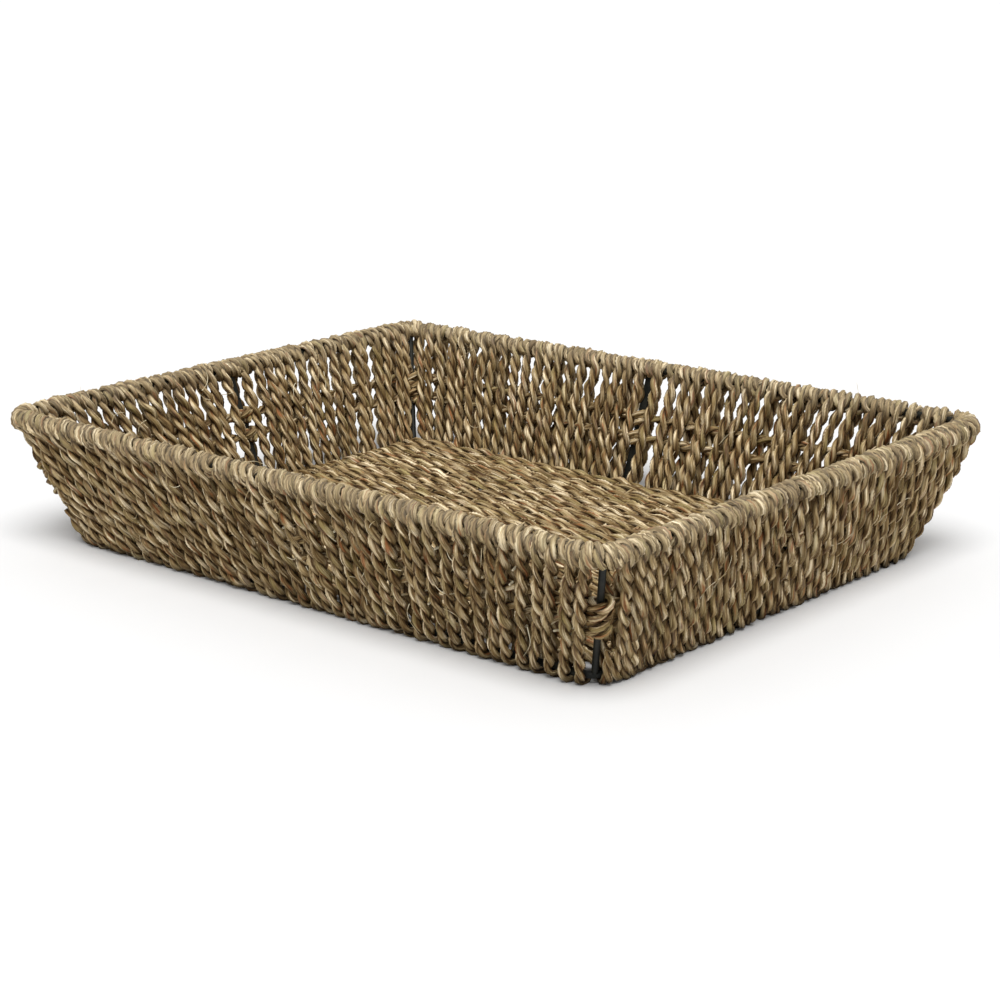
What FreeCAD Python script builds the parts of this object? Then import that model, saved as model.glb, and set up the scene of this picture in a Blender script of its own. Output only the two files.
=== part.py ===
import FreeCAD, Part
import math
import os

# Shallow rectangular bread basket: seagrass rope wound on a wire frame.
# Millimetres, +Z up, +X along the length, origin at the centre of the footprint on the table.
# The front wall is at -Y and the right wall at +X.

# ---- driving dimensions -------------------------------------------------------------------
LENGTH = 460.0              # over the rope of the rim
WIDTH = 355.0
HEIGHT = 84.0
WALL_INSET = 27.0           # how far the base wire lies inside the rim wire, on every side

WIRE_D = 4.0                # rim wire, base wire and base cross bars
CORNER_ROD_D = 3.6
SIDE_BAR_WIDTH = 5.5        # flat bars at the middle of the walls
SIDE_BAR_THICK = 2.0
BACK_BAR_SHIFT = -11.0      # the back and front bars stand a little off the middle
FRONT_BAR_SHIFT = 11.0
CROSS_BAR_SPACING = 95.0

RIM_WRAP_R = 6.8            # outside radius of the rope turns on the rim wire
BASE_WRAP_R = 5.8
RIM_CREST_HALF = 1.8        # the rounded top and foot of the wall, as half widths and heights
RIM_SHOULDER_HALF = 5.0
RIM_SHOULDER_RISE = 4.6
FOOT_HALF = 2.5
FOOT_EDGE_HALF = 4.9
FOOT_EDGE_Z = 1.6
RIM_CORNER_R = 13.0         # bend radius of the wires at the corners
BASE_CORNER_R = 12.0
BASE_WIRE_Z = 5.0

CAVITY_HALF = 2.5           # half the space between the outer and the inner rope layer
PANEL_GAP = 5.0             # from an upright's centre to the rope windings beside it
CLEARANCE = 0.3
REGION_REACH = (60.0, 300.0)    # plan areas that cut the walls into windings run between these

BAND_CORD_D = 4.4
BAND_CORD_Z = {"upper": 48.0, "lower": 36.0}
LASHING_HALF = 10.0         # half the height of the turns round an upright
LASHING_R = 4.7

MAT_EDGE_TOP = 12.0         # the woven floor lies on the cross bars
MAT_CROWN_TOP = 14.0
MAT_CROWN_INSET = 70.0

# ---- derived places -----------------------------------------------------------------------
RIM_Z = HEIGHT - RIM_WRAP_R
RIM_HALF_X = LENGTH / 2 - RIM_WRAP_R
RIM_HALF_Y = WIDTH / 2 - RIM_WRAP_R
BASE_HALF_X = RIM_HALF_X - WALL_INSET
BASE_HALF_Y = RIM_HALF_Y - WALL_INSET
ARC_MID = math.sqrt(0.5)
SIDES_X = {"left": -1, "right": 1}
SIDES_Y = {"front": -1, "back": 1}
BAR_SHIFT = {"front": FRONT_BAR_SHIFT, "back": BACK_BAR_SHIFT, "left": 0.0, "right": 0.0}


def fraction_at(z):
    """How far up the wall a height lies: 0 at the base wire, 1 at the rim wire and above."""
    return min(max((z - BASE_WIRE_Z) / (RIM_Z - BASE_WIRE_Z), 0.0), 1.0)


def wall_half_x(z):
    return BASE_HALF_X + (RIM_HALF_X - BASE_HALF_X) * fraction_at(z)


def wall_half_y(z):
    return BASE_HALF_Y + (RIM_HALF_Y - BASE_HALF_Y) * fraction_at(z)


def wall_corner_r(z):
    return BASE_CORNER_R + (RIM_CORNER_R - BASE_CORNER_R) * fraction_at(z)


def rounded_loop(half_x, half_y, radius, z):
    """A closed wire of four straight runs and four corner arcs."""
    edges = []
    corners = [(1, 1, 0), (-1, 1, 90), (-1, -1, 180), (1, -1, 270)]
    ends = []
    for sign_x, sign_y, start in corners:
        centre = FreeCAD.Vector(sign_x * (half_x - radius), sign_y * (half_y - radius), z)
        circle = Part.Circle(centre, FreeCAD.Vector(0, 0, 1), radius)
        arc = circle.toShape(math.radians(start), math.radians(start + 90))
        ends.append((circle.value(math.radians(start)), circle.value(math.radians(start + 90))))
        edges.append(arc)
    runs = []
    for index, arc in enumerate(edges):
        run_end = ends[(index + 1) % 4][0]
        runs.append(arc)
        runs.append(Part.LineSegment(ends[index][1], run_end).toShape())
    return Part.Wire(runs)


def wall_loop(z, offset):
    """The middle surface of the wall at a height, moved outwards by an offset."""
    return rounded_loop(wall_half_x(z) + offset, wall_half_y(z) + offset, wall_corner_r(z) + offset, z)


def lofted(levels):
    """A solid through wall loops given as (height, offset) pairs."""
    return Part.makeLoft([wall_loop(z, offset) for z, offset in levels], True, True)


def wire_ring(half_x, half_y, radius, z, wire_d):
    """Round wire bent to a rounded rectangle."""
    path = rounded_loop(half_x, half_y, radius, z)
    start = FreeCAD.Vector(half_x, half_y - radius, z)
    profile = Part.Wire(Part.makeCircle(wire_d / 2, start, FreeCAD.Vector(0, 1, 0)))
    return path.makePipeShell([profile], True, False)


def prism(points, z_low, z_high):
    outline = Part.makePolygon([FreeCAD.Vector(x, y, z_low) for x, y in points + points[:1]])
    return Part.Face(outline).extrude(FreeCAD.Vector(0, 0, z_high - z_low))


def rod_between(start, end, diameter):
    return Part.makeCylinder(diameter / 2, (end - start).Length, start, end - start)


def largest_solid(shape):
    return max(shape.Solids, key=lambda solid: solid.Volume)


def export(name, shape):
    solid = largest_solid(shape)
    print(f"{name:28s} valid {solid.isValid()} volume {solid.Volume:.0f}")
    solid.exportStep(f"parts/{name}.step")


# ---- frame --------------------------------------------------------------------------------
def corner_ends(sign_x, sign_y):
    """Foot and head of a corner upright: the middle of the corner bend of each wire."""
    def bend_middle(half_x, half_y, radius, z):
        reach = radius * (ARC_MID - 1.0)
        return FreeCAD.Vector(sign_x * (half_x + reach), sign_y * (half_y + reach), z)
    foot = bend_middle(BASE_HALF_X, BASE_HALF_Y, BASE_CORNER_R, BASE_WIRE_Z)
    head = bend_middle(RIM_HALF_X, RIM_HALF_Y, RIM_CORNER_R, RIM_Z)
    return foot, head


def side_bar(side):
    """Flat bar on the middle surface of a wall, from the base wire to the rim wire."""
    half_width = SIDE_BAR_WIDTH / 2
    half_thick = SIDE_BAR_THICK / 2
    shift = BAR_SHIFT[side]
    if side in SIDES_Y:
        sign = SIDES_Y[side]
        foot, head = sign * BASE_HALF_Y, sign * RIM_HALF_Y
        section = [(shift - half_width, -half_thick), (shift + half_width, -half_thick),
                   (shift + half_width, half_thick), (shift - half_width, half_thick)]
    else:
        sign = SIDES_X[side]
        foot, head = sign * BASE_HALF_X, sign * RIM_HALF_X
        section = [(-half_thick, shift - half_width), (half_thick, shift - half_width),
                   (half_thick, shift + half_width), (-half_thick, shift + half_width)]

    def ring(level, z):
        move = (0.0, level) if side in SIDES_Y else (level, 0.0)
        points = [FreeCAD.Vector(x + move[0], y + move[1], z) for x, y in section]
        return Part.makePolygon(points + points[:1])
    return Part.makeLoft([ring(foot, BASE_WIRE_Z), ring(head, RIM_Z)], True, True)


# ---- rope work ----------------------------------------------------------------------------
def wall_sleeve():
    """Both rope layers of all four walls with their turns over the wires, as one closed ring."""
    profile = [(0.0, FOOT_HALF), (FOOT_EDGE_Z, FOOT_EDGE_HALF), (BASE_WIRE_Z, BASE_WRAP_R),
               (RIM_Z, RIM_WRAP_R), (RIM_Z + RIM_SHOULDER_RISE, RIM_SHOULDER_HALF),
               (HEIGHT, RIM_CREST_HALF)]
    outer = lofted(profile)
    inside = lofted([(z, -half) for z, half in profile])
    cavity_levels = [BASE_WIRE_Z - CAVITY_HALF, BASE_WIRE_Z, RIM_Z, RIM_Z + CAVITY_HALF]
    cavity_outer = lofted([(z, CAVITY_HALF) for z in cavity_levels])
    cavity_inner = lofted([(z, -CAVITY_HALF) for z in cavity_levels])
    return outer.cut(inside).cut(cavity_outer.cut(cavity_inner))


def panel_region(wall, end):
    """Plan area of one winding: from the side bar of its wall to the corner upright at its end."""
    near, far = REGION_REACH
    if wall in SIDES_Y:
        sign_x, sign_y = SIDES_X[end], SIDES_Y[wall]
        into_panel = (-sign_x * ARC_MID, sign_y * ARC_MID)
        middle = BAR_SHIFT[wall] + sign_x * PANEL_GAP
        near_middle = [(middle, sign_y * near), (middle, sign_y * far)]
    else:
        sign_x, sign_y = SIDES_X[wall], SIDES_Y[end]
        into_panel = (sign_x * ARC_MID, -sign_y * ARC_MID)
        middle = BAR_SHIFT[wall] + sign_y * PANEL_GAP
        near_middle = [(sign_x * near, middle), (sign_x * far, middle)]
    centre_x = sign_x * (RIM_HALF_X - RIM_CORNER_R)
    centre_y = sign_y * (RIM_HALF_Y - RIM_CORNER_R)

    def on_diagonal(distance):
        return (centre_x + sign_x * distance + into_panel[0] * PANEL_GAP,
                centre_y + sign_y * distance + into_panel[1] * PANEL_GAP)
    return near_middle + [on_diagonal(near), on_diagonal(-near)]


def band_cord(wall, end, z):
    """One stretch of a band cord, between the turns on two neighbouring uprights."""
    half_x, half_y, radius = wall_half_x(z), wall_half_y(z), wall_corner_r(z)
    ring = wire_ring(half_x, half_y, radius, z, BAND_CORD_D)
    region = prism(panel_region(wall, end), z - BAND_CORD_D, z + BAND_CORD_D)
    return ring.common(region)


def lashing(foot, head, bore):
    """The turns that the band cords take round one upright, as a short barrel with its bore."""
    middle_z = (BAND_CORD_Z["upper"] + BAND_CORD_Z["lower"]) / 2
    direction = (head - foot).normalize()
    middle = foot + direction * ((middle_z - foot.z) / direction.z)
    start = middle - direction * LASHING_HALF
    barrel = Part.makeCylinder(LASHING_R, 2 * LASHING_HALF, start, direction)
    return barrel.cut(bore)


def base_mat():
    """The woven floor: flat underneath, where it lies on the cross bars, and slightly crowned on top."""
    inset = BASE_WRAP_R + CLEARANCE
    half_x = BASE_HALF_X - inset
    half_y = BASE_HALF_Y - inset
    radius = BASE_CORNER_R - inset
    underside = BASE_WIRE_Z + WIRE_D / 2
    plate = Part.makeLoft([rounded_loop(half_x, half_y, radius, underside),
                           rounded_loop(half_x, half_y, radius, MAT_EDGE_TOP)], True, True)
    crown_x = half_x - MAT_CROWN_INSET
    crown_y = half_y - MAT_CROWN_INSET
    crown = Part.makeLoft([rounded_loop(half_x, half_y, radius, MAT_EDGE_TOP),
                           rounded_loop(crown_x, crown_y, radius, MAT_CROWN_TOP)], True, True)
    return plate.fuse(crown).removeSplitter()


# ---- build --------------------------------------------------------------------------------
os.makedirs("parts", exist_ok=True)

rim_wire = wire_ring(RIM_HALF_X, RIM_HALF_Y, RIM_CORNER_R, RIM_Z, WIRE_D)
base_wire = wire_ring(BASE_HALF_X, BASE_HALF_Y, BASE_CORNER_R, BASE_WIRE_Z, WIRE_D)
export("rim_wire", rim_wire)
export("base_wire", base_wire)

for side_y, sign_y in SIDES_Y.items():
    for side_x, sign_x in SIDES_X.items():
        foot, head = corner_ends(sign_x, sign_y)
        rod = rod_between(foot, head, CORNER_ROD_D).cut(rim_wire).cut(base_wire)
        export(f"corner_upright_{side_y}_{side_x}", rod)
        bore = rod_between(foot, head, CORNER_ROD_D + 2 * CLEARANCE)
        export(f"corner_lashing_{side_y}_{side_x}", lashing(foot, head, bore))

for side in BAR_SHIFT:
    bar = side_bar(side)
    export(f"side_upright_{side}", bar.cut(rim_wire).cut(base_wire))
    if side in SIDES_Y:
        foot = FreeCAD.Vector(BAR_SHIFT[side], SIDES_Y[side] * BASE_HALF_Y, BASE_WIRE_Z)
        head = FreeCAD.Vector(BAR_SHIFT[side], SIDES_Y[side] * RIM_HALF_Y, RIM_Z)
    else:
        foot = FreeCAD.Vector(SIDES_X[side] * BASE_HALF_X, BAR_SHIFT[side], BASE_WIRE_Z)
        head = FreeCAD.Vector(SIDES_X[side] * RIM_HALF_X, BAR_SHIFT[side], RIM_Z)
    export(f"side_lashing_{side}", lashing(foot, head, bar))

cross_bar_places = {"left": -CROSS_BAR_SPACING, "middle": 0.0, "right": CROSS_BAR_SPACING}
bar_slots = []
for name, x in cross_bar_places.items():
    start = FreeCAD.Vector(x, -BASE_HALF_Y, BASE_WIRE_Z)
    end = FreeCAD.Vector(x, BASE_HALF_Y, BASE_WIRE_Z)
    rod = rod_between(start, end, WIRE_D).cut(base_wire)
    export(f"base_cross_bar_{name}", rod)
    bar_slots.append(rod_between(start, end, WIRE_D + 2 * CLEARANCE))

sleeve = wall_sleeve()
for slot in bar_slots:
    sleeve = sleeve.cut(slot)
panels = [(wall, end) for wall in SIDES_Y for end in SIDES_X]
panels += [(wall, end) for wall in SIDES_X for end in SIDES_Y]
for wall, end in panels:
    region = prism(panel_region(wall, end), -5.0, HEIGHT + 5.0)
    export(f"winding_{wall}_{end}", sleeve.common(region))
    for level, z in BAND_CORD_Z.items():
        export(f"band_cord_{level}_{wall}_{end}", band_cord(wall, end, z))

export("base_mat", base_mat())
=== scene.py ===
import math
import random

import bpy
from mathutils import Matrix, Vector, noise


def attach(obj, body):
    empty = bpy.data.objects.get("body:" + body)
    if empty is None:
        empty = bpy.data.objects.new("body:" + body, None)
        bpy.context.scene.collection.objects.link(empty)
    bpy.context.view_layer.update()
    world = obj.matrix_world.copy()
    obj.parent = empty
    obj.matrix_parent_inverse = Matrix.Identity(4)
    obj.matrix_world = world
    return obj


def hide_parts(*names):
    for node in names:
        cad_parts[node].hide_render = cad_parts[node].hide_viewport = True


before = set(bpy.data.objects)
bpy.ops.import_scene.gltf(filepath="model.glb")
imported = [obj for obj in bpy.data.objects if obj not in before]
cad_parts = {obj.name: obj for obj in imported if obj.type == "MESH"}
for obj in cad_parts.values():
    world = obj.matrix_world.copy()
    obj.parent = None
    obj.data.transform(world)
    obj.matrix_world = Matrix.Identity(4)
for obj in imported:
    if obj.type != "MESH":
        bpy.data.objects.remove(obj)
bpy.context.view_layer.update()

# ---- floor, light and camera ---------------------------------------------------------------
# The basket stands on a plain pale floor in an even white studio, with one broad soft light
# overhead. The camera looks a little down at the near corner, along a long lens.
FLOOR_SIZE = 40.0
CAMERA_PLACE = Vector((0.85385, -0.96287, 0.38870))
CAMERA_RIGHT = Vector((0.75303, 0.65793, -0.00806))
CAMERA_UP = Vector((-0.17107, 0.20760, 0.96314))
CAMERA_LENS = 82.03
CAMERA_SENSOR = 36.0
SUN_FROM = Vector((0.36, -0.36, 1.0))
SUN_ENERGY = 3.2
SUN_SPREAD = math.radians(38)
ROOM_STRENGTH = 0.58


def new_material(name):
    """A material with its principled shader, ready for its nodes."""
    material = bpy.data.materials.new(name)
    material.use_nodes = True
    return material, material.node_tree, material.node_tree.nodes["Principled BSDF"]


def add_node(tree, kind, sockets=None, **settings):
    """A shader node with its settings; each socket gets a value or another node's output."""
    node = tree.nodes.new(kind)
    for key, value in settings.items():
        setattr(node, key, value)
    for key, value in (sockets or {}).items():
        if isinstance(value, bpy.types.NodeSocket):
            tree.links.new(value, node.inputs[key])
        else:
            node.inputs[key].default_value = value
    return node


bpy.ops.object.select_all(action="DESELECT")
bpy.ops.mesh.primitive_plane_add(size=FLOOR_SIZE)
floor = bpy.context.object
floor.name = "floor"
floor_material, _, floor_shader = new_material("pale_floor")
floor_shader.inputs["Base Color"].default_value = (0.72, 0.72, 0.72, 1.0)
floor_shader.inputs["Roughness"].default_value = 0.8
floor_shader.inputs["Specular IOR Level"].default_value = 0.1
floor.data.materials.append(floor_material)

world = bpy.data.worlds.new("studio")
bpy.context.scene.world = world
world.use_nodes = True
background = world.node_tree.nodes["Background"]
background.inputs["Color"].default_value = (1.0, 1.0, 1.0, 1.0)
background.inputs["Strength"].default_value = ROOM_STRENGTH

bpy.ops.object.light_add(type="SUN", location=SUN_FROM)
sun = bpy.context.object
sun.name = "soft_overhead_light"
sun.data.energy = SUN_ENERGY
sun.data.angle = SUN_SPREAD
sun.rotation_euler = (-SUN_FROM).to_track_quat("-Z", "Y").to_euler()

camera_data = bpy.data.cameras.new("camera")
camera_data.lens = CAMERA_LENS
camera_data.sensor_width = CAMERA_SENSOR
camera = bpy.data.objects.new("camera", camera_data)
bpy.context.collection.objects.link(camera)
camera_axes = Matrix((CAMERA_RIGHT, CAMERA_UP, CAMERA_RIGHT.cross(CAMERA_UP))).transposed()
camera.matrix_world = Matrix.Translation(CAMERA_PLACE) @ camera_axes.to_4x4()
bpy.context.scene.camera = camera
bpy.context.scene.view_settings.view_transform = "Standard"

# ---- wire frame ----------------------------------------------------------------------------
# Round rods at the rim, the base edge, under the mat and up the four corners, and a flat bar
# up the middle of each wall: steel, welded and painted black. The coat is thin at the welds.
FRAME_NODES = ["rim_wire", "base_wire"]
FRAME_NODES += [f"corner_upright_{y}_{x}" for y in ("front", "back") for x in ("left", "right")]
FRAME_NODES += [f"side_upright_{side}" for side in ("front", "back", "left", "right")]
FRAME_NODES += [f"base_cross_bar_{place}" for place in ("left", "middle", "right")]

paint_material, paint_tree, paint_shader = new_material("black_paint")
paint_place = add_node(paint_tree, "ShaderNodeTexCoord").outputs["Object"]
paint_cloud = add_node(paint_tree, "ShaderNodeTexNoise",
                       {"Vector": paint_place, "Scale": 140.0, "Detail": 5.0, "Roughness": 0.6})
paint_speckle = add_node(paint_tree, "ShaderNodeTexNoise",
                         {"Vector": paint_place, "Scale": 900.0, "Detail": 3.0})
paint_colour = add_node(paint_tree, "ShaderNodeValToRGB", {"Fac": paint_cloud.outputs["Fac"]})
paint_colour.color_ramp.elements[0].position = 0.35
paint_colour.color_ramp.elements[0].color = (0.005, 0.006, 0.005, 1.0)
paint_colour.color_ramp.elements[1].position = 0.78
paint_colour.color_ramp.elements[1].color = (0.028, 0.027, 0.020, 1.0)
paint_gloss = add_node(paint_tree, "ShaderNodeMapRange",
                       {"Value": paint_cloud.outputs["Fac"], "To Min": 0.38, "To Max": 0.66})
paint_shader.inputs["Specular IOR Level"].default_value = 0.22
paint_bump = add_node(paint_tree, "ShaderNodeBump",
                      {"Height": paint_speckle.outputs["Fac"], "Strength": 0.35, "Distance": 0.0002})
paint_tree.links.new(paint_colour.outputs["Color"], paint_shader.inputs["Base Color"])
paint_tree.links.new(paint_gloss.outputs["Result"], paint_shader.inputs["Roughness"])
paint_tree.links.new(paint_bump.outputs["Normal"], paint_shader.inputs["Normal"])
for node_name in FRAME_NODES:
    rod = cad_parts[node_name]
    rod.data.materials.clear()
    rod.data.materials.append(paint_material)

# ---- rope ----------------------------------------------------------------------------------
# All the rope work is hand-laid seagrass: two plies of folded blades, twisted to the left on the
# walls and to the right in the mat. One left-hand twist is shaped here, and every rope is a run
# of such twists bent along its route.
TWIST = 0.0205
PLY_R = 0.00180
PLY_OUT = 0.00134
SECTION_POINTS = 16
TWIST_STEPS = 10
# How far a ply swells, how far a blade's edge stands out and how far the lay drifts, and then
# how fast each of them changes along the rope.
PLY_SWELL = 0.34
BLADE_EDGE = 0.46
LAY_DRIFT = 0.0035
SWELL_RATE = 95.0
EDGE_RATE = 32.0
EDGE_ROUND = 1.9
DRIFT_RATE = 14.0
# Steps through the noise, so that plies, ropes and kinds of unevenness don't repeat each other.
SWELL_STEP = 5.0
EDGE_STEP = 7.0
DRIFT_STEP = 20.0
PLY_STEP = 13.7
ROPE_STEP = 37.0
# How much of a ply's round lies outside, in radians; the rest is hidden against the other ply.
PLY_SHOWN = 5.1


def ply_reach(angle):
    """Distance from the rope's middle to the skin of its two plies."""
    return PLY_OUT * abs(math.cos(angle)) + math.sqrt(PLY_R**2 - (PLY_OUT * math.sin(angle))**2)


bpy.ops.object.select_all(action="DESELECT")
bpy.ops.mesh.primitive_circle_add(vertices=SECTION_POINTS, radius=1.0, calc_uvs=False,
                                  rotation=(0, math.pi / 2, 0))
twist = bpy.context.object
bpy.ops.object.transform_apply(rotation=True)
for vertex in twist.data.vertices:
    vertex.co *= ply_reach(math.atan2(vertex.co.z, vertex.co.y))
lay = twist.modifiers.new("lay", "SCREW")
lay.axis = "X"
lay.angle = -2 * math.pi
lay.screw_offset = TWIST
lay.steps = lay.render_steps = TWIST_STEPS
bpy.ops.object.modifier_apply(modifier="lay")
bpy.ops.object.mode_set(mode="EDIT")
bpy.ops.mesh.select_all(action="SELECT")
bpy.ops.mesh.normals_make_consistent(inside=False)
bpy.ops.mesh.select_all(action="DESELECT")
bpy.ops.object.mode_set(mode="OBJECT")
CREASE = 1.02 * ply_reach(math.pi / 2)
for edge in twist.data.edges:
    ends = [twist.data.vertices[index].co for index in edge.vertices]
    edge.use_edge_sharp = all(math.hypot(end.y, end.z) < CREASE for end in ends)
bpy.ops.object.shade_smooth(keep_sharp_edges=True)

# The texture runs along the rope once a twist, and across both plies from crease to crease.
twist_uv = twist.data.uv_layers.new(name="UVMap")


def section_angle(point):
    """Place round the section, with the twist taken out."""
    return math.atan2(point.z, point.y) + 2 * math.pi * point.x / TWIST


for face in twist.data.polygons:
    middle = section_angle(face.center)
    for loop_index in face.loop_indices:
        corner = twist.data.vertices[twist.data.loops[loop_index].vertex_index].co
        turn = (section_angle(corner) - middle + math.pi) % (2 * math.pi) - math.pi
        across = (middle / (2 * math.pi) + 0.25) % 1.0 + turn / (2 * math.pi)
        twist_uv.data[loop_index].uv = (corner.x / TWIST, across)

grass_material, grass_tree, grass_shader = new_material("seagrass")
grass_uv = add_node(grass_tree, "ShaderNodeUVMap", uv_map="UVMap").outputs["UV"]
grass_place = add_node(grass_tree, "ShaderNodeTexCoord").outputs["Object"]
grass_parts = add_node(grass_tree, "ShaderNodeSeparateXYZ", {"Vector": grass_uv})
both_plies = add_node(grass_tree, "ShaderNodeMath", {0: grass_parts.outputs["Y"], 1: 2.0},
                      operation="MULTIPLY").outputs["Value"]
ply_number = add_node(grass_tree, "ShaderNodeMath", {0: both_plies},
                      operation="FLOOR").outputs["Value"]
across_ply = add_node(grass_tree, "ShaderNodeMath", {0: both_plies},
                      operation="FRACT").outputs["Value"]
# The blades are not turned inside a ply, so their grain keeps facing one way all along it.
facing = add_node(grass_tree, "ShaderNodeMath", {0: across_ply, 1: PLY_SHOWN, 2: -PLY_SHOWN / 2},
                  operation="MULTIPLY_ADD").outputs["Value"]
for value, factor in ((grass_parts.outputs["X"], -2 * math.pi), (ply_number, math.pi)):
    facing = add_node(grass_tree, "ShaderNodeMath", {0: value, 1: factor, 2: facing},
                      operation="MULTIPLY_ADD").outputs["Value"]
along_ply = add_node(grass_tree, "ShaderNodeMath",
                     {0: ply_number, 1: PLY_STEP, 2: grass_parts.outputs["X"]},
                     operation="MULTIPLY_ADD").outputs["Value"]
grain_place = add_node(grass_tree, "ShaderNodeCombineXYZ", {
    "X": along_ply,
    "Y": add_node(grass_tree, "ShaderNodeMath", {0: facing}, operation="COSINE").outputs["Value"],
    "Z": add_node(grass_tree, "ShaderNodeMath", {0: facing}, operation="SINE").outputs["Value"],
}).outputs["Vector"]


def grain(along, around, shift, detail):
    """Noise that is stretched along the blades of a ply."""
    mapped = add_node(grass_tree, "ShaderNodeMapping",
                      {"Vector": grain_place, "Location": (shift, 0.0, 0.0),
                       "Scale": (along, around, around)})
    return add_node(grass_tree, "ShaderNodeTexNoise",
                    {"Vector": mapped.outputs["Vector"], "Scale": 1.0, "Detail": detail}).outputs["Fac"]


def ramp(value, stops):
    """Colour ramp from (position, colour) stops."""
    node = add_node(grass_tree, "ShaderNodeValToRGB", {"Fac": value})
    while len(node.color_ramp.elements) < len(stops):
        node.color_ramp.elements.new(0.5)
    for element, (position, colour) in zip(node.color_ramp.elements, stops):
        element.position = position
        element.color = (*colour, 1.0)
    return node.outputs["Color"]


def blend(kind, share, first, second):
    """Mix of two colours."""
    node = add_node(grass_tree, "ShaderNodeMix", data_type="RGBA", blend_type=kind)
    for key, value in ((0, share), (6, first), (7, second)):
        if isinstance(value, bpy.types.NodeSocket):
            grass_tree.links.new(value, node.inputs[key])
        else:
            node.inputs[key].default_value = value
    return node.outputs[2]


blade_tone = ramp(grain(1.4, 0.8, 0.0, 2.0), [
    (0.30, (0.105, 0.060, 0.021)), (0.42, (0.225, 0.158, 0.074)),
    (0.54, (0.395, 0.308, 0.174)), (0.68, (0.740, 0.645, 0.465))])
green_share = ramp(grain(0.6, 0.3, 40.0, 1.0), [(0.55, (0.0, 0.0, 0.0)), (0.72, (0.6, 0.6, 0.6))])
toned = blend("MIX", green_share, blade_tone, (0.275, 0.230, 0.095, 1.0))
red_share = ramp(grain(1.6, 0.9, 80.0, 1.0), [(0.62, (0.0, 0.0, 0.0)), (0.72, (0.75, 0.75, 0.75))])
toned = blend("MIX", red_share, toned, (0.260, 0.095, 0.034, 1.0))
plum_share = ramp(grain(1.8, 0.9, 120.0, 1.0), [(0.61, (0.0, 0.0, 0.0)), (0.70, (0.7, 0.7, 0.7))])
toned = blend("MIX", plum_share, toned, (0.110, 0.062, 0.040, 1.0))
fibre = grain(1.3, 5.0, 160.0, 4.0)
blade = grain(0.8, 1.6, 200.0, 1.0)
toned = blend("MULTIPLY", 0.85, toned, ramp(fibre, [
    (0.32, (0.36, 0.28, 0.19)), (0.45, (0.90, 0.87, 0.82)), (0.64, (1.45, 1.44, 1.42))]))
toned = blend("MULTIPLY", 0.8, toned, ramp(blade, [
    (0.36, (0.36, 0.28, 0.19)), (0.45, (0.98, 0.96, 0.93)), (0.62, (1.25, 1.25, 1.26))]))
# Painted shade: the colour darkens towards the crease between the two plies, where shade falls, and a
# little less on the rim.
to_crest = add_node(grass_tree, "ShaderNodeMath", {0: across_ply, 1: 0.5}, operation="SUBTRACT")
to_crest = add_node(grass_tree, "ShaderNodeMath", {0: to_crest.outputs["Value"]}, operation="ABSOLUTE")
grass_height = add_node(grass_tree, "ShaderNodeSeparateXYZ", {"Vector": grass_place}).outputs["Z"]
crease_shade_share = add_node(grass_tree, "ShaderNodeMapRange",
                        {"Value": grass_height, "From Min": 0.066, "From Max": 0.078,
                         "To Min": 0.85, "To Max": 0.72}).outputs["Result"]
toned = blend("MULTIPLY", crease_shade_share, toned, ramp(to_crest.outputs["Value"], [
    (0.0, (1.0, 1.0, 1.0)), (0.28, (0.92, 0.89, 0.83)), (0.39, (0.42, 0.31, 0.20)),
    (0.48, (0.08, 0.05, 0.025))]))
# Towards the rim the colour pales to a light tan: partly wear of the blades, partly painted light on
# the top of the rim, which faces the light.
rim_wear_and_light_share = add_node(grass_tree, "ShaderNodeMapRange",
                     {"Value": grass_height, "From Min": 0.068, "From Max": 0.081,
                      "To Min": 0.0, "To Max": 0.16})
toned = blend("MIX", rim_wear_and_light_share.outputs["Result"], toned, (0.66, 0.60, 0.44, 1.0))
# Painted shade: the rope darkens towards the floor, where the basket's edge shades its own feet.
foot_painted_shade = add_node(grass_tree, "ShaderNodeMapRange",
                      {"Value": grass_height, "From Min": 0.0008, "From Max": 0.0060,
                       "To Min": 0.25, "To Max": 1.0}).outputs["Result"]
toned = blend("MULTIPLY", 1.0, toned, foot_painted_shade)
grass_gloss = add_node(grass_tree, "ShaderNodeMapRange",
                       {"Value": fibre, "To Min": 0.50, "To Max": 0.78})
grass_bump = add_node(grass_tree, "ShaderNodeBump",
                      {"Height": fibre, "Strength": 0.8, "Distance": 0.0006})
grass_bump = add_node(grass_tree, "ShaderNodeBump",
                      {"Height": blade, "Strength": 0.7, "Distance": 0.0012,
                       "Normal": grass_bump.outputs["Normal"]})
grass_tree.links.new(toned, grass_shader.inputs["Base Color"])
grass_tree.links.new(grass_gloss.outputs["Result"], grass_shader.inputs["Roughness"])
grass_tree.links.new(grass_bump.outputs["Normal"], grass_shader.inputs["Normal"])
grass_shader.inputs["Specular IOR Level"].default_value = 0.12
twist.data.materials.append(grass_material)


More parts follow.
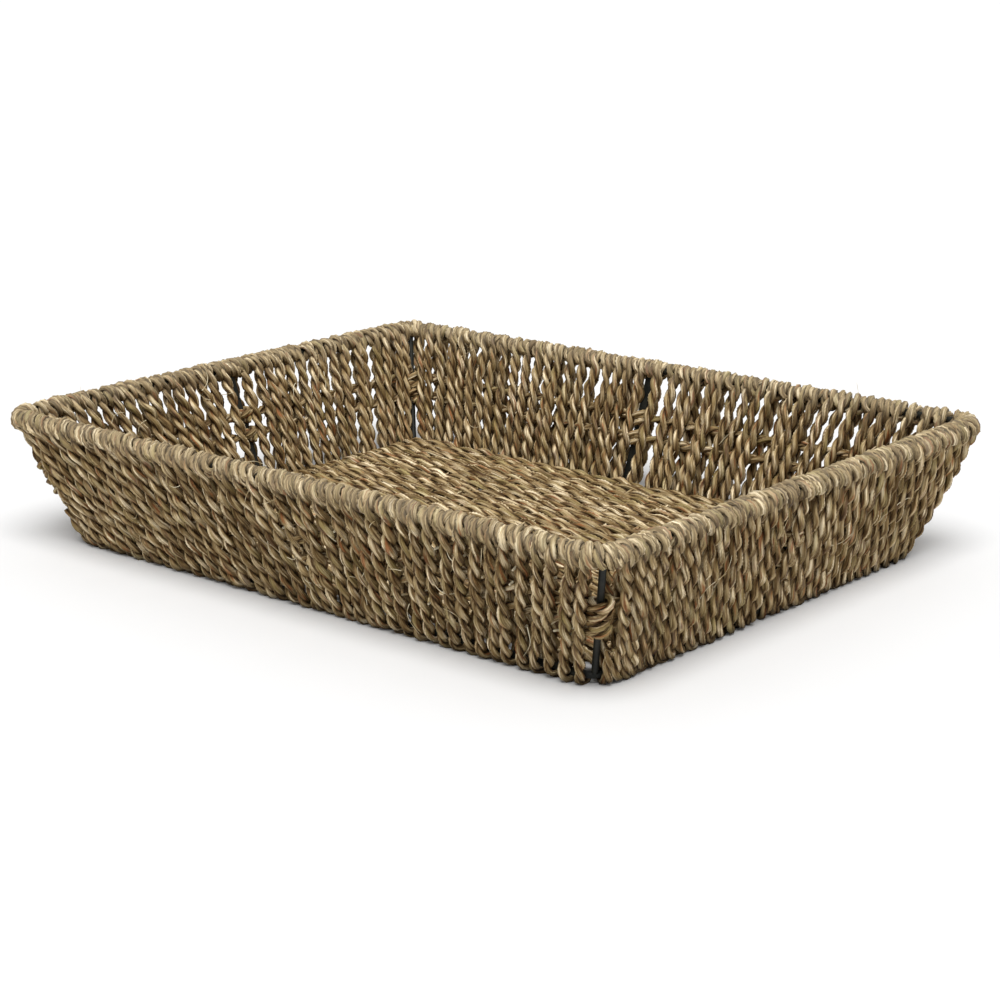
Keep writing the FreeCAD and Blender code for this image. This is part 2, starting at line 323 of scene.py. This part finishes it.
def lay_rope(name, route, start, right_laid=False, lay_length=TWIST):
    """Two-ply rope along a route of (place, thickness) pairs; start picks its grain and noise."""
    line = bpy.data.curves.new(name + "_route", "CURVE")
    line.dimensions = "3D"
    line.resolution_u = 4
    line.use_stretch = True
    line.use_deform_bounds = True
    spline = line.splines.new("NURBS")
    spline.points.add(len(route) - 1)
    for point, (place, thickness) in zip(spline.points, route):
        point.co = (*place, 1.0)
        point.radius = thickness
    spline.order_u = 3
    spline.use_endpoint_u = True
    guide = bpy.data.objects.new(name + "_route", line)
    bpy.context.collection.objects.link(guide)

    rope = bpy.data.objects.new(name, twist.data.copy())
    bpy.context.collection.objects.link(rope)
    bpy.ops.object.select_all(action="DESELECT")
    rope.select_set(True)
    bpy.context.view_layer.objects.active = rope
    run = rope.modifiers.new("run", "ARRAY")
    run.count = max(2, round(spline.calc_length() / lay_length))
    run.use_relative_offset = False
    run.use_constant_offset = True
    run.constant_offset_displace = (TWIST, 0.0, 0.0)
    run.use_merge_vertices = True
    run.merge_threshold = 0.00005
    run.offset_u = 1.0
    bpy.ops.object.modifier_apply(modifier="run")
    bpy.ops.object.mode_set(mode="EDIT")
    bpy.ops.mesh.select_all(action="SELECT")
    bpy.ops.mesh.fill_holes(sides=0)
    bpy.ops.object.mode_set(mode="OBJECT")

    # No ply is even: each swells and thins, and the lay is looser in some stretches.
    for vertex in rope.data.vertices:
        place = vertex.co
        side = math.copysign(1.0, math.cos(section_angle(place)))
        turn = 2 * math.pi * place.x / TWIST
        centre = Vector((place.x, PLY_OUT * side * math.cos(turn), -PLY_OUT * side * math.sin(turn)))
        reach = place - centre
        facing = reach.normalized()
        swell = PLY_SWELL * noise.noise(Vector((place.x * SWELL_RATE, SWELL_STEP * side, start)))
        edge = BLADE_EDGE * noise.noise(Vector((place.x * EDGE_RATE, EDGE_ROUND * facing.y,
                                                EDGE_ROUND * facing.z + EDGE_STEP * side + start)))
        drift = LAY_DRIFT * noise.noise(Vector((place.x * DRIFT_RATE, DRIFT_STEP, start)))
        vertex.co = centre + reach * (1.0 + swell + edge) + Vector((drift, 0, 0))
    if right_laid:
        rope.data.transform(Matrix.Scale(-1.0, 4, Vector((0, 0, 1))))
        rope.data.flip_normals()
    for corner in rope.data.uv_layers["UVMap"].data:
        corner.uv.x += ROPE_STEP * start

    follow = rope.modifiers.new("route", "CURVE")
    follow.object = guide
    follow.deform_axis = "POS_X"
    bpy.ops.object.modifier_apply(modifier="route")
    bpy.data.objects.remove(guide)
    for vertex in rope.data.vertices:
        vertex.co.z = max(vertex.co.z, 0.0)
    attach(rope, "root")
    return rope


# ---- wall windings -------------------------------------------------------------------------
# One long rope fills each half of a wall, between its middle bar and a corner. It climbs the
# outside, goes one and a half times round the rim wire and down the inside half a pitch on,
# then passes under the base wire to the next climb. Nothing else fixes it.
RIM_Z = 0.0772
BASE_Z = 0.0050
RIM_HALF = (0.2232, 0.1707)
BASE_HALF = (0.1962, 0.1437)
RIM_BEND = 0.0130
BASE_BEND = 0.0120
WALL_SLOPE = math.atan2(RIM_HALF[0] - BASE_HALF[0], RIM_Z - BASE_Z)
WALL_LENGTH = (RIM_Z - BASE_Z) / math.cos(WALL_SLOPE)
HALF_PITCH = 0.0047
BAR_CLEAR = {"front": (0.0052, -0.0005), "right": (0.0060, 0.0045),
             "back": (0.0050, 0.0050), "left": (0.0058, 0.0080)}
CORNER_CLEAR = 0.0060
BAR_PLACE = {"front": 0.011, "back": 0.011, "left": 0.0, "right": 0.0}
TAIL_OUT = 0.0045
RIM_TURN_R = 0.0044
BASE_TURN_R = 0.0044
FOOT_LIFT = 0.0017
PASS_STOPS = (0.11, 0.26, 0.43, 0.60, 0.76, 0.90)
PASS_OUT = (0.0042, 0.0043, 0.0049, 0.0049, 0.0044, 0.0038)
PASS_LEAN = {"front": 0.45, "right": 2.20, "back": 0.35, "left": 0.30}
STRAIGHT_PASSES = 7
PASS_BOW = 0.0011
PASS_SWAY = 0.0008
PASS_WANDER = 0.19
PASS_STRAY = 0.0006
PASS_SIZE = 1.08
PASS_SIZES = (0.86, 1.14)
TAIL_STEPS = 0.4
TAIL_SIZE = 0.9
TURN_STEP = 45
TURN_REACHES = (0.95, 1.05)
TURN_SIZES = (0.90, 1.04)
# Most of the step from one pass to the next is made inside and under the rim wire.
RIM_EVEN = 0.25
RIM_HURRY = 2.25
RIM_WAIT = 0.63
WINDING_SEED = 20
WINDING_START = 1.3
# Each wall with the direction along it, counter-clockwise from above, and out of it.
WALLS = {"front": (Vector((1, 0, 0)), Vector((0, -1, 0))),
         "right": (Vector((0, 1, 0)), Vector((1, 0, 0))),
         "back": (Vector((-1, 0, 0)), Vector((0, 1, 0))),
         "left": (Vector((0, -1, 0)), Vector((-1, 0, 0)))}
UP = Vector((0, 0, 1))


def wall_size(wall, climb):
    """Half length and half spread of a wall's middle surface, and its corner bend, at a climb."""
    level = climb / WALL_LENGTH
    half_x = BASE_HALF[0] + (RIM_HALF[0] - BASE_HALF[0]) * level
    half_y = BASE_HALF[1] + (RIM_HALF[1] - BASE_HALF[1]) * level
    bend = BASE_BEND + (RIM_BEND - BASE_BEND) * level
    return (half_x, half_y, bend) if wall in ("front", "back") else (half_y, half_x, bend)


def wall_reach(wall, climb):
    """Distance along the middle surface from the wall's middle to the corner's."""
    half_along, _, bend = wall_size(wall, climb)
    return half_along - bend + bend * math.pi / 4


def wall_place(wall, distance, climb, out=0.0, lift=0.0):
    """Point on a wall, by its distance along it and climb up it, then moved square off it."""
    along, outward = WALLS[wall]
    half_along, half_out, bend = wall_size(wall, climb)
    straight = half_along - bend
    past = max(0.0, abs(distance) - straight) / bend
    side = math.copysign(1.0, distance)
    facing = outward * math.cos(past) + along * side * math.sin(past)
    centre = along * side * min(abs(distance), straight) + outward * (half_out - bend)
    foot = centre + facing * bend + UP * (BASE_Z + climb * math.cos(WALL_SLOPE))
    square = facing * math.cos(WALL_SLOPE) - UP * math.sin(WALL_SLOPE)
    upward = facing * math.sin(WALL_SLOPE) + UP * math.cos(WALL_SLOPE)
    return foot + square * out + upward * lift


def ease(value):
    """Smooth step from 0 to 1."""
    value = min(1.0, max(0.0, value))
    return value * value * (3.0 - 2.0 * value)


def pass_points(wall, distance_at, outside, chance):
    """One pass between the wires, as (place, thickness) pairs from the base up."""
    points = []
    bow = chance.gauss(0.0, PASS_BOW)
    for stop, out in zip(PASS_STOPS, PASS_OUT):
        climb = stop * WALL_LENGTH
        out += chance.uniform(-PASS_STRAY, PASS_STRAY)
        distance = distance_at(climb) + bow * math.sin(math.pi * stop) + chance.gauss(0.0, PASS_SWAY)
        points.append((wall_place(wall, distance, climb, out if outside else -out),
                       PASS_SIZE * chance.uniform(*PASS_SIZES)))
    return points


def wire_turn(wall, distance_at, climb, radius, first_angle, last_angle, chance):
    """Turns round a wire, with the angle counted in degrees from outside the wall, up and over."""
    points = []
    count = round((last_angle - first_angle) / TURN_STEP)
    for index in range(count + 1):
        lean = math.radians(first_angle + TURN_STEP * index)
        reach = radius * chance.uniform(*TURN_REACHES)
        place = wall_place(wall, distance_at(index / count), climb, reach * math.cos(lean),
                           reach * math.sin(lean))
        place.z = max(place.z, FOOT_LIFT)
        points.append((place, chance.uniform(*TURN_SIZES)))
    return points


def panel_ends(wall, half, climb):
    """Distances of a winding's two edges at a climb; half is 0 before the middle bar and 1 after."""
    reach = wall_reach(wall, climb)
    if half == 0:
        return -reach + CORNER_CLEAR, BAR_PLACE[wall] - BAR_CLEAR[wall][0]
    return BAR_PLACE[wall] + BAR_CLEAR[wall][1], reach - CORNER_CLEAR


def winding_route(wall, half, chance):
    """Route of one winding, from the edge that lies further round to the other one."""
    first, last = panel_ends(wall, half, WALL_LENGTH / 2)
    passes = 2 * round((last - first) / HALF_PITCH / 2) + 1

    def distance(step, climb):
        start, stop = panel_ends(wall, half, climb)
        return stop + (start - stop) * step / passes

    def lean(step):
        """How far a pass's foot lies from its head, in steps: less beside an upright."""
        nearest = min(step, passes - step) / STRAIGHT_PASSES
        return PASS_LEAN[wall] * min(1.0, max(0.0, nearest)) * (1 if step % 2 == 0 else -1)

    route = []
    wander = [chance.gauss(0.0, PASS_WANDER) for step in range(passes + 2)]
    route += wire_turn(wall, lambda share: distance(0.0, 0.0), 0.0, BASE_TURN_R, 225, 360, chance)
    for step in range(passes + 1):
        outside = step % 2 == 0

        def along_pass(climb):
            return distance(step + wander[step] + lean(step) * (1.0 - climb / WALL_LENGTH), climb)

        points = pass_points(wall, along_pass, outside, chance)
        route += points if outside else points[::-1]
        if outside:
            def along_rim(share):
                eased = RIM_EVEN * share + (1.0 - RIM_EVEN) * ease(RIM_HURRY * share - RIM_WAIT)
                start, stop = step + wander[step], step + 1 + wander[step + 1]
                return distance(start + (stop - start) * eased, WALL_LENGTH)
            route += wire_turn(wall, along_rim, WALL_LENGTH, RIM_TURN_R, 0, 540, chance)
        elif step < passes:
            def along_base(share):
                start = step + wander[step] + lean(step)
                stop = step + 1 + wander[step + 1] + lean(step + 1)
                return distance(start + (stop - start) * share, 0.0)
            route += wire_turn(wall, along_base, 0.0, BASE_TURN_R, 180, 360, chance)
    tail = passes + TAIL_STEPS
    route += wire_turn(wall, lambda share: distance(tail, 0.0), 0.0, BASE_TURN_R, 180, 360, chance)
    for stop in PASS_STOPS[:2]:
        climb = stop * WALL_LENGTH
        route.append((wall_place(wall, distance(tail, climb), climb, TAIL_OUT), TAIL_SIZE))
    return route


WINDINGS = [("front", "left", 0), ("front", "right", 1), ("right", "front", 0), ("right", "back", 1),
            ("back", "right", 0), ("back", "left", 1), ("left", "back", 0), ("left", "front", 1)]
for number, (wall, end, half) in enumerate(WINDINGS):
    name = f"winding_{wall}_{end}"
    route = winding_route(wall, half, random.Random(WINDING_SEED + number))
    winding = lay_rope(name + "_rope", route, WINDING_START + number)
    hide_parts(name)

# ---- turns over the upright heads ----------------------------------------------------------
# Between two windings a short rope goes four times round the rim wire, so that the rim is
# covered over every corner and middle bar. Its ends are tucked in under the wire.
HEAD_TURNS = 4
HEAD_REACH = 0.0086
HEAD_ANGLE = -135
HEAD_SEED = 60
CORNER_HEAD_START = 11.4
BAR_HEAD_START = 16.1
CORNERS_AFTER = {"front": "front_right", "right": "back_right",
                 "back": "back_left", "left": "front_left"}


def head_route(wall, middle, chance):
    """Route of the turns over one upright's head."""
    def along(share):
        return middle + HEAD_REACH * (1.0 - 2.0 * share)
    return wire_turn(wall, along, WALL_LENGTH, RIM_TURN_R,
                     HEAD_ANGLE, HEAD_ANGLE + 360 * HEAD_TURNS, chance)


for number, wall in enumerate(WALLS):
    chance = random.Random(HEAD_SEED + number)
    route = head_route(wall, wall_reach(wall, WALL_LENGTH), chance)
    lay_rope(f"head_turns_{CORNERS_AFTER[wall]}", route, CORNER_HEAD_START + number)
    route = head_route(wall, BAR_PLACE[wall], chance)
    lay_rope(f"head_turns_{wall}", route, BAR_HEAD_START + number)

# ---- band cords ----------------------------------------------------------------------------
# Two level ropes go round the basket between the inner and outer layers of the walls, and hold
# them apart. Every pass of the windings is gripped between them.
BAND_HEIGHTS = {"upper": 0.048, "lower": 0.036}
BAND_CLIMBS = {level: (height - BASE_Z) / math.cos(WALL_SLOPE)
               for level, height in BAND_HEIGHTS.items()}
BAND_SIZE = 1.04
BAND_STEP = 0.0094
BAND_SWAY = 0.0009
BAND_RISE = 0.0008
BAND_SHORT = 0.002
BAND_BEHIND_BAR = -0.0030
NEAR_BAR = 0.7 * BAND_STEP
BAND_SEEDS = {"upper": 90, "lower": 80}
BAND_START = 31.7
BAND_ENDS = {"front": ("left", "right"), "right": ("front", "back"),
             "back": ("right", "left"), "left": ("back", "front")}
for number, wall in enumerate(WALLS):
    for level, climb in BAND_CLIMBS.items():
        chance = random.Random(BAND_SEEDS[level] + number)
        reach = wall_reach(wall, climb) - BAND_SHORT
        count = round(2 * reach / BAND_STEP)
        route = []
        for index in range(count + 1):
            distance = -reach + 2 * reach * index / count
            lift = chance.uniform(-BAND_RISE, BAND_RISE)
            sway = BAND_SWAY * (-1) ** index
            if abs(distance - BAR_PLACE[wall]) < NEAR_BAR:
                sway = BAND_BEHIND_BAR
            route.append((wall_place(wall, distance, climb + lift, sway), BAND_SIZE))
        band = lay_rope(f"band_{level}_{wall}_rope", route, BAND_START + 2 * number + climb * 100)
        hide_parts(*[f"band_cord_{level}_{wall}_{end}" for end in BAND_ENDS[wall]])

# ---- lashings ------------------------------------------------------------------------------
# Where the band cords meet an upright they are wound round it: four turns at a corner, and
# one and a half for each cord at a flat middle bar.
LASH_SIZE = 0.96
LASH_SIZES = (0.94, 1.06)
LASH_R = 0.0050
LASH_REACHES = (0.94, 1.08)
LASH_PITCH = 0.0054
CORNER_TURNS = 4.0
BAR_TURNS = 1.5
TURN_POINTS = 8
NUDGE = 0.001
LASH_SEED = 100
CORNER_LASH_START = 51.2
BAR_LASH_START = 61.2


def lash_route(wall, middle, climb, turns, chance):
    """Coil round an upright that stands on the middle surface of a wall."""
    points = []
    for index in range(round(turns * TURN_POINTS) + 1):
        angle = 2 * math.pi * index / TURN_POINTS + math.pi
        rise = climb + LASH_PITCH * (index / TURN_POINTS - turns / 2)
        reach = LASH_R * chance.uniform(*LASH_REACHES)
        place = wall_place(wall, middle(rise), rise)
        before = wall_place(wall, middle(rise) - NUDGE, rise)
        after = wall_place(wall, middle(rise) + NUDGE, rise)
        across = (after - before).normalized()
        outward = (wall_place(wall, middle(rise), rise, NUDGE) - place).normalized()
        points.append((place + across * reach * math.sin(angle) + outward * reach * math.cos(angle),
                       LASH_SIZE * chance.uniform(*LASH_SIZES)))
    return points


LASH_MIDDLE = (BAND_CLIMBS["upper"] + BAND_CLIMBS["lower"]) / 2
for number, wall in enumerate(WALLS):
    chance = random.Random(LASH_SEED + number)
    route = lash_route(wall, lambda rise: wall_reach(wall, rise), LASH_MIDDLE, CORNER_TURNS, chance)
    corner = lay_rope(f"lashing_{CORNERS_AFTER[wall]}_rope", route, CORNER_LASH_START + number)
    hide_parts(f"corner_lashing_{CORNERS_AFTER[wall]}")
    for level, climb in BAND_CLIMBS.items():
        route = lash_route(wall, lambda rise: BAR_PLACE[wall], climb, BAR_TURNS, chance)
        turn = lay_rope(f"lashing_{wall}_{level}_rope", route, BAR_LASH_START + number)
        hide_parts(f"side_lashing_{wall}")

# ---- woven mat -----------------------------------------------------------------------------
# The floor of the basket is a plain weave: right-laid, loosely twisted ropes run the long way, over
# and under thinner cross ropes, and lie pressed flat on the three cross bars. At both ends they
# dive behind the base wire and return.
MAT_Z = 0.0100
MAT_CROWN = 0.0016
MAT_REACH = (0.1885, 0.1365)
ROWS = 37
ROW_PITCH = 0.0075
ROW_SIZE = 1.26
ROW_FLAT = 0.72
ROW_RISE = 0.0010
ROW_LAY = 0.032
ROW_SIZES = (0.86, 1.08)
ROW_STRAY = (0.001, 0.0006, 0.0004)
# How a row ends: past the mat's edge, against its level, and thickness.
ROW_TAIL = ((-0.0010, -0.0004, 0.92), (0.0015, -0.0032, 0.86))
EDGE_WIDTH = 0.07
CROSS_PITCH = 0.0190
CROSS_COUNT = 20
CROSS_SIZE = 0.46
CROSS_STRAY = 0.0004
CROSS_PAST = 0.001
CROSS_DIVE = 0.002
MAT_SEED = 140
MAT_START = 71.9
CROSS_SEED = 150
CROSS_START = 77.7


def mat_height(x, y):
    """Middle height of the mat: a little crowned, and lower along its edges."""
    along = ease((MAT_REACH[0] - abs(x)) / EDGE_WIDTH)
    across = ease((MAT_REACH[1] - abs(y)) / EDGE_WIDTH)
    return MAT_Z + MAT_CROWN * along * across


def mat_rows_route(rows, chance):
    """Route of some rows, there and back: over one cross rope, then under the next."""
    route = []
    for order, row in enumerate(rows):
        y = (row - ROWS // 2) * ROW_PITCH
        line = []
        for column in range(1 - CROSS_COUNT, CROSS_COUNT):
            x = column * CROSS_PITCH / 2
            wave = 0.0
            if column % 2:
                wave = ROW_RISE * (1 if ((column - 1) // 2 + row) % 2 else -1)
            line.append((Vector((x + chance.uniform(-ROW_STRAY[0], ROW_STRAY[0]),
                                 y + chance.gauss(0.0, ROW_STRAY[1]),
                                 mat_height(x, y) + wave + chance.gauss(0.0, ROW_STRAY[2]))),
                         ROW_SIZE * chance.uniform(*ROW_SIZES)))
        for side in (-1, 1):
            tail = [(Vector((side * (MAT_REACH[0] + past), y, MAT_Z + rise)), size)
                    for past, rise, size in ROW_TAIL]
            line = tail[::-1] + line if side < 0 else line + tail
        route += line if order % 2 == 0 else line[::-1]
    return route


MAT_PARTS = [("front", range(0, 12)), ("middle", range(12, 24)), ("back", range(24, ROWS))]
for number, (part, rows) in enumerate(MAT_PARTS):
    route = mat_rows_route(rows, random.Random(MAT_SEED + number))
    mat = lay_rope(f"mat_rows_{part}", route, MAT_START + number, right_laid=True, lay_length=ROW_LAY)
    for vertex in mat.data.vertices:
        level = mat_height(vertex.co.x, vertex.co.y)
        vertex.co.z = level + (vertex.co.z - level) * ROW_FLAT
    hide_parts("base_mat")

cross_route = []
chance = random.Random(CROSS_SEED)
for order in range(CROSS_COUNT):
    x = (order + 0.5 - CROSS_COUNT / 2) * CROSS_PITCH
    line = []
    for row in range(0, ROWS, 2):
        y = (row - ROWS // 2) * ROW_PITCH
        line.append((Vector((x + chance.gauss(0.0, CROSS_STRAY), y, mat_height(x, y))), CROSS_SIZE))
    ends = [(Vector((x, side * (MAT_REACH[1] + CROSS_PAST), MAT_Z - CROSS_DIVE)), CROSS_SIZE)
            for side in (-1, 1)]
    line = ends[:1] + line + ends[1:]
    cross_route += line if order % 2 == 0 else line[::-1]
cross = lay_rope("mat_cross_ropes", cross_route, CROSS_START)
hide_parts("base_mat")

bpy.data.objects.remove(twist)

# ---- loose fibres --------------------------------------------------------------------------
# Dry fibres have sprung out of the rope all over the basket, and pale cut ends of blades show
# between the passes, most of them near the front corner. Only the lay of the rope holds them.
LOOSE_SEED = 200
FIBRE_COUNT = 80
FIBRE_R = 0.00024
FIBRE_TIP = 0.35
FIBRE_SPREAD = 0.92
FIBRE_CLIMBS = (0.25, 1.0)
FIBRE_LENGTHS = (0.006, 0.020)
FIBRE_CURL = 1.2
FIBRE_OUT = 0.0058
FIBRE_RISES = (0.001, 0.004)
FIBRE_POINTS = 5
CUT_COUNT = 80
CUT_R = 0.00070
CUT_TIP = 0.8
CUT_SPREAD = 1.1
CUT_CROWDING = 1.5
CUT_CLIMBS = (0.25, 0.85)
CUT_SLANT = 0.0014
CUT_OUT = 0.0006
CUT_LENGTH = 0.0030

dry_material, dry_tree, dry_shader = new_material("dry_fibre")
dry_place = add_node(dry_tree, "ShaderNodeTexCoord").outputs["Object"]
dry_cloud = add_node(dry_tree, "ShaderNodeTexNoise",
                     {"Vector": dry_place, "Scale": 130.0, "Detail": 3.0})
dry_colour = add_node(dry_tree, "ShaderNodeValToRGB", {"Fac": dry_cloud.outputs["Fac"]})
dry_colour.color_ramp.elements[0].position = 0.40
dry_colour.color_ramp.elements[0].color = (0.42, 0.31, 0.15, 1.0)
dry_colour.color_ramp.elements[1].position = 0.58
dry_colour.color_ramp.elements[1].color = (0.86, 0.78, 0.56, 1.0)
dry_bump = add_node(dry_tree, "ShaderNodeBump",
                    {"Height": dry_cloud.outputs["Fac"], "Strength": 0.4, "Distance": 0.0003})
dry_tree.links.new(dry_colour.outputs["Color"], dry_shader.inputs["Base Color"])
dry_tree.links.new(dry_bump.outputs["Normal"], dry_shader.inputs["Normal"])
dry_shader.inputs["Roughness"].default_value = 0.6


def strands(name, routes, radius, tip):
    """One piece of many thin strands, each thinning along its route to a share of its radius."""
    lines = bpy.data.curves.new(name, "CURVE")
    lines.dimensions = "3D"
    lines.resolution_u = 4
    lines.bevel_depth = radius
    lines.bevel_resolution = 1
    lines.use_fill_caps = True
    for route in routes:
        spline = lines.splines.new("NURBS")
        spline.points.add(len(route) - 1)
        for index, (point, place) in enumerate(zip(spline.points, route)):
            point.co = (*place, 1.0)
            point.radius = 1.0 - (1.0 - tip) * index / (len(route) - 1)
        spline.order_u = 3
        spline.use_endpoint_u = True
    piece = bpy.data.objects.new(name, lines)
    bpy.context.collection.objects.link(piece)
    bpy.ops.object.select_all(action="DESELECT")
    piece.select_set(True)
    bpy.context.view_layer.objects.active = piece
    bpy.ops.object.convert(target="MESH")
    piece = bpy.context.object
    piece.data.materials.clear()
    piece.data.materials.append(dry_material)
    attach(piece, "root")
    return piece


chance = random.Random(LOOSE_SEED)
fibre_routes = []
for number in range(FIBRE_COUNT):
    wall = chance.choice(("front", "front", "right", "back", "left"))
    side = chance.choice((1, 1, -1)) if wall in ("front", "right") else chance.choice((-1, -1, 1))
    distance = chance.uniform(-FIBRE_SPREAD, FIBRE_SPREAD) * wall_reach(wall, 0.0)
    climb = chance.uniform(*FIBRE_CLIMBS) * WALL_LENGTH
    heading = chance.uniform(0.0, 2 * math.pi)
    length = chance.uniform(*FIBRE_LENGTHS)
    curl = chance.uniform(-FIBRE_CURL, FIBRE_CURL)
    route = []
    for index in range(FIBRE_POINTS):
        share = index / (FIBRE_POINTS - 1)
        angle = heading + curl * share
        route.append(wall_place(wall, distance + length * share * math.cos(angle),
                                climb + length * share * math.sin(angle),
                                side * (FIBRE_OUT + chance.uniform(*FIBRE_RISES) * share)))
    fibre_routes.append(route)
strands("loose_fibres", fibre_routes, FIBRE_R, FIBRE_TIP)

cut_routes = []
for number in range(CUT_COUNT):
    wall = chance.choice(("front", "front", "front", "right"))
    near = wall_reach(wall, 0.0) * (1.0 if wall == "front" else -1.0)
    distance = near * (1.0 - CUT_SPREAD * chance.random() ** CUT_CROWDING)
    climb = chance.uniform(*CUT_CLIMBS) * WALL_LENGTH
    slant = chance.uniform(-CUT_SLANT, CUT_SLANT)
    cut_routes.append([wall_place(wall, distance + slant * share, climb + abs(slant) * share,
                                  CUT_OUT + CUT_LENGTH * share) for share in (0.0, 0.5, 1.0)])
strands("cut_ends", cut_routes, CUT_R, CUT_TIP)
